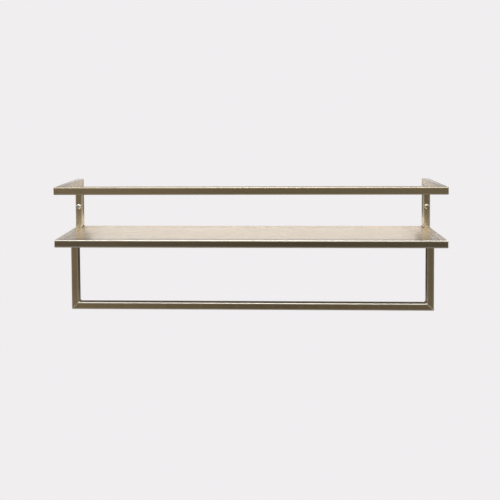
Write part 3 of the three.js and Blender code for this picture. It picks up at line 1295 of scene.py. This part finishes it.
@dataclass
class WallScrews:
    """The two pan-head screws that hold the rack to the wall."""

    shop: Workshop
    platings: tuple[Bare, Bare] = (Bare.BRIGHT_PLATING, Bare.DARKER_PLATING)  # left and right
    recess_turns: Span = (0.35, 0.05)  # how far each cross is turned, in radians
    recess_span: float = 5.4 * MM
    recess_width: float = 1.4 * MM
    recess_depth: float = 1.8 * MM
    recess_taper: float = 0.55
    head_radius: float = 4.8 * MM
    head_height: float = 3.0 * MM
    rim_height: float = 1.0 * MM
    crown_radius: float = 1.8 * MM  # the flat middle of the head
    crown_steps: int = 8
    edge_break: float = 0.25 * MM
    neck: Span = (0.3 * MM, 0.35 * MM)  # how far the shank widens under the head, and over what
    core_radius: float = 1.7 * MM  # at the root of the thread
    outer_radius: float = 2.4 * MM  # of the plain shank and the thread
    shank_length: float = 13 * MM  # plain, under the head
    run_out: float = 1.0 * MM  # where the shank narrows to the root of the thread
    pitch: float = 2.0 * MM
    tip_length: float = 6 * MM
    point_length: float = 0.6 * MM
    point_radius: float = 0.25  # where the point begins, as a share of the core's
    turned_steps: int = 48

    def build(self) -> None:
        """Makes one screw for each post."""
        for side, plating, turn in zip(Side, self.platings, self.recess_turns):
            node = f"wall_screw_{side.word}"
            low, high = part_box(node)
            length = high.y - low.y - self.head_height
            thread = length - self.shank_length - self.point_length / 2
            body = self._recessed(self._turned(length), turn)
            name, finish = f"{node}_plated", self.shop.bare[plating]
            values = {**inputs(self), "Thread Length": thread}
            mesh = self.shop.threads.grow(name, finish, values, body)
            middle = middle_of(node)
            middle.y = low.y + self.head_height
            mesh.transform(Matrix.Translation(middle) @ Matrix.Rotation(-QUARTER_TURN, 4, "X"))
            show(name, mesh, "wall_screw", node)

    def _turned(self, length: float) -> bpy.types.Mesh:
        """Turns the screw's body round +Z, with the underside of the head at height 0.

        Args:
            length: The length under the head.

        Returns:
            The closed body, without its recess or thread.
        """
        rim, crown = self.head_radius - self.crown_radius, self.head_height - self.rim_height
        turns = [QUARTER_TURN * step / self.crown_steps for step in range(self.crown_steps + 1)]
        flat, rise = self.crown_radius, self.rim_height
        widening, under_head = self.neck
        outline = [
            (0.0, -self.head_height),
            *((flat + rim * math.sin(turn), -rise - crown * math.cos(turn)) for turn in turns),
            (self.head_radius, -self.edge_break),
            (self.head_radius - self.edge_break, 0.0),
            (self.outer_radius + widening, 0.0),
            (self.outer_radius, under_head),
            (self.outer_radius, self.shank_length - self.run_out),
            (self.core_radius, self.shank_length),
            (self.core_radius, length - self.tip_length),
            (self.core_radius * self.point_radius, length - self.point_length),
            (0.0, length),
        ]
        lathe = bmesh.new()
        points = [lathe.verts.new((radius, 0.0, height)) for radius, height in outline]
        edges = [lathe.edges.new(pair) for pair in zip(points, points[1:])]
        about = {"cent": (0.0, 0.0, 0.0), "axis": (0.0, 0.0, 1.0), "angle": 4 * QUARTER_TURN}
        bmesh.ops.spin(lathe, geom=points + edges, steps=self.turned_steps, **about)
        bmesh.ops.remove_doubles(lathe, verts=lathe.verts, dist=0.002 * MM)
        return settle(lathe, "screw_body")

    def _recessed(self, body: bpy.types.Mesh, turn: float) -> bpy.types.Mesh:
        """Cuts the tapered cross into the head.

        Args:
            body: The turned body.
            turn: How far the cross is turned about the screw, in radians.

        Returns:
            The body with its recess.
        """
        blade = bmesh.new()
        to_head = Matrix.Translation((0.0, 0.0, -self.head_height))
        for arm in (turn, turn + QUARTER_TURN):
            verts = bmesh.ops.create_cube(blade, size=2.0)["verts"]
            for vert in verts:
                taper = 1.0 if vert.co.z < 0 else self.recess_taper
                vert.co.x *= self.recess_span / 2 * taper
                vert.co.y *= self.recess_width / 2 * (0.5 + taper / 2)
                vert.co.z *= self.recess_depth
            bmesh.ops.transform(blade, verts=verts, matrix=to_head @ Matrix.Rotation(arm, 4, "Z"))
        tool = stand("recess_tool", settle(blade, "recess_tool"))
        cut = {"object": tool, "operation": "DIFFERENCE", "solver": "EXACT", "use_self": True}
        made = modified(body, BOOLEAN=cut)
        bpy.data.objects.remove(tool)
        made.shade_smooth()
        made.set_sharp_from_angle(angle=math.radians(35))
        return made


@dataclass(frozen=True)
class Viewpoint:
    """Where the camera stands, with its angles in radians."""

    place: Place = (31.5 * MM, -1061.7 * MM, 213.4 * MM)
    yaw: float = 0.0314  # to the left of straight into the wall
    pitch: float = 0.0366  # downwards
    roll: float = -0.0054
    lens: float = 43.5  # in millimetres, as the sensor's width is
    sensor: float = 36.0
    shift: float = -0.239  # how far the picture is moved up, in widths of the picture
    clip: Span = (0.02, 60.0)

    def stand_camera(self) -> None:
        """Makes the camera and gives it to the scene."""
        data = bpy.data.cameras.new("photo_view")
        data.lens, data.sensor_width, data.shift_y = self.lens, self.sensor, self.shift
        data.clip_start, data.clip_end = self.clip
        tilt = Matrix.Rotation(QUARTER_TURN - self.pitch, 4, "X")
        turn = Matrix.Rotation(self.yaw, 4, "Z") @ tilt @ Matrix.Rotation(self.roll, 4, "Z")
        camera = stand("photo_view", data)
        camera.matrix_world = Matrix.Translation(self.place) @ turn
        bpy.context.scene.camera = camera


@dataclass(frozen=True)
class Lamp:
    """A soft rectangular lamp."""

    name: str = "window"
    place: Place = (0.0, -1.1, 1.14)
    aim: Place = (0.0, -0.03, 0.0)
    size: Span = (1.6, 0.5)
    power: float = 29.5
    colour: Colour = (0.95, 0.975, 1.0)

    def hang(self) -> None:
        """Hangs the lamp, which lights the rack and isn't seen itself."""
        data = bpy.data.lights.new(self.name, "AREA")
        data.shape = "RECTANGLE"
        data.size, data.size_y = self.size
        data.energy, data.color = self.power, self.colour
        lamp = stand(self.name, data)
        ray = Vector(self.aim) - Vector(self.place)
        turn = ray.to_track_quat("-Z", "Y").to_matrix().to_4x4()
        lamp.matrix_world = Matrix.Translation(self.place) @ turn
        lamp.visible_camera = False


@dataclass
class Studio:
    """The plain pale room that the rack is shown in.

    The metal mirrors the room behind the camera, which is dim in its lower half, and the wall just
    behind the rack, which neither the camera nor shadows see.
    """

    pale: Colour = (0.875, 0.855, 0.868)  # the background, as it shows
    gloom: Colour = (0.056, 0.052, 0.046)  # the dim light that the room gives to matt surfaces
    room: Colour = (0.175, 0.16, 0.132)
    room_left: Colour = (0.33, 0.30, 0.27)
    room_right: Colour = (0.26, 0.25, 0.22)
    room_sides: tuple[Span, Span] = ((0.05, 0.28), (0.4, 0.65))  # where they begin and end
    room_back: Span = (0.0, 0.3)  # where the room turns pale behind the rack
    eye_level: Span = (0.0, 0.15)
    floor_height: float = -1.4
    floor_radius: float = 0.8
    floor_fade: Span = (0.4, 0.98)  # shares of its radius
    floor_glow: float = 0.85  # how far the floor shows as the background does
    wall_gap: float = 1 * MM
    wall_size: Span = (2.4, 1.6)
    wall_near: float = 3 * MM  # the wall is clear to rays that start nearer
    wall_upper_shade: Colour = (0.46, 0.445, 0.44)  # painted shade higher up, where the shelf throws less light back on it
    wall_fade: Span = (98 * MM, 110 * MM)
    wall_painted_shade: Colour = (0.345, 0.335, 0.31)  # painted shade beside the posts
    # Sideways from the rack's middle, and above the middle of the shelf's bars.
    shade_sides: tuple[Span, Span] = ((284 * MM, 292 * MM), (303 * MM, 306 * MM))
    shade_heights: tuple[Span, Span] = ((14 * MM, 32 * MM), (65 * MM, 80 * MM))

    def build(self) -> None:
        """Sets the room, the lamp and the camera."""
        bpy.context.scene.view_settings.view_transform = "Standard"
        Viewpoint().stand_camera()
        self._light_world()
        self._lay_floor()
        self._stand_wall()
        Lamp().hang()

    def _light_world(self) -> None:
        """Surrounds the rack with a pale room that is dim below eye level on the camera's side."""
        world = bpy.data.worlds.new("studio")
        bpy.context.scene.world = world
        world.use_nodes = True
        world.node_tree.nodes.clear()
        graph = Graph(world.node_tree)
        heading = graph.add("ShaderNodeTexCoord", output="Generated")
        sideways, into_wall, upward = graph.parts(heading)
        behind = into_wall.rise(*self.room_back)
        lower = graph.blend((-sideways).band(*self.room_sides), self.room, self.room_left)
        lower = graph.blend(sideways.band(*self.room_sides), lower, self.room_right)
        seen, polished, _ = graph.rays()
        mirrored = graph.blend(behind.at_least(upward.rise(*self.eye_level)), lower, self.pale)
        lit = graph.blend(behind, self.gloom, self.pale)
        colour = graph.blend(seen, graph.blend(polished, lit, mirrored), self.pale)
        shine = graph.add("ShaderNodeBackground", Color=colour, Strength=1.0)
        graph.add("ShaderNodeOutputWorld", Surface=shine)

    def _lay_floor(self) -> None:
        """Lays the pale floor that the rack's soft shadow falls on, faded out towards its edge."""
        paint = Paint("floor_paint")
        seen, polished, _ = paint.rays()
        pale = (*self.pale, 1.0)
        matt = paint.add("ShaderNodeBsdfDiffuse", Color=pale, Roughness=0.0)
        shine = paint.add("ShaderNodeEmission", Color=pale, Strength=1.0)
        as_shown = seen.at_least(polished) * self.floor_glow
        both = paint.add("ShaderNodeMixShader", None, as_shown, matt, shine)
        x, y, _ = paint.parts(paint.place)
        start, end = (share * self.floor_radius for share in self.floor_fade)
        fade = paint.reckon("SQRT", x * x + y * y).rise(start, end)
        clear = paint.add("ShaderNodeBsdfTransparent")
        finish = paint.end(paint.add("ShaderNodeMixShader", None, fade, both, clear))
        reach = self.floor_radius
        self._sheet("floor", [(x * reach, y * reach, self.floor_height) for x, y in CORNERS], finish)

    def _stand_wall(self) -> None:
        """Stands the pale wall behind the rack, whose shaded part the metal reflects, with painted
        shade in its paint.
        """
        paint = Paint("wall_paint")
        x, _, height = paint.parts(paint.place)
        # Painted shade: the paint is darker higher up and beside the posts.
        shaded = abs(x).band(*self.shade_sides) * height.band(*self.shade_heights)
        tone = paint.blend(height.rise(*self.wall_fade), self.pale, self.wall_upper_shade)
        tone = paint.blend(shaded, tone, self.wall_painted_shade)
        matt = paint.add("ShaderNodeBsdfDiffuse", Color=tone, Roughness=0.0)
        clear = paint.add("ShaderNodeBsdfTransparent")
        _, _, length = paint.rays()
        away = length > self.wall_near
        finish = paint.end(paint.add("ShaderNodeMixShader", None, away, clear, matt))
        reach_x, reach_z = (size / 2 for size in self.wall_size)
        corners = [(x * reach_x, self.wall_gap, z * reach_z) for x, z in CORNERS]
        wall = self._sheet("wall", corners, finish)
        wall.visible_camera = wall.visible_shadow = False

    @staticmethod
    def _sheet(name: str, corners: Sequence[Place], finish: bpy.types.Material) -> bpy.types.Object:
        """Adds a flat sheet that isn't part of the rack.

        Args:
            name: Its name.
            corners: Its corners.
            finish: Its material.

        Returns:
            The sheet.
        """
        mesh = bpy.data.meshes.new(name)
        mesh.from_pydata(corners, [], [tuple(range(len(corners)))])
        mesh.materials.append(finish)
        sheet = stand(name, mesh)
        return sheet


def main() -> None:
    """Dresses the rack, piece by piece, and sets the studio round it."""
    logging.basicConfig(level=logging.INFO, format="%(name)s: %(message)s")
    Studio().build()
    shop = Workshop()
    for part in (Gallery, Shelf, TowelFrame, WallScrews):
        part(shop).build()


if __name__ == "__main__":
    main()
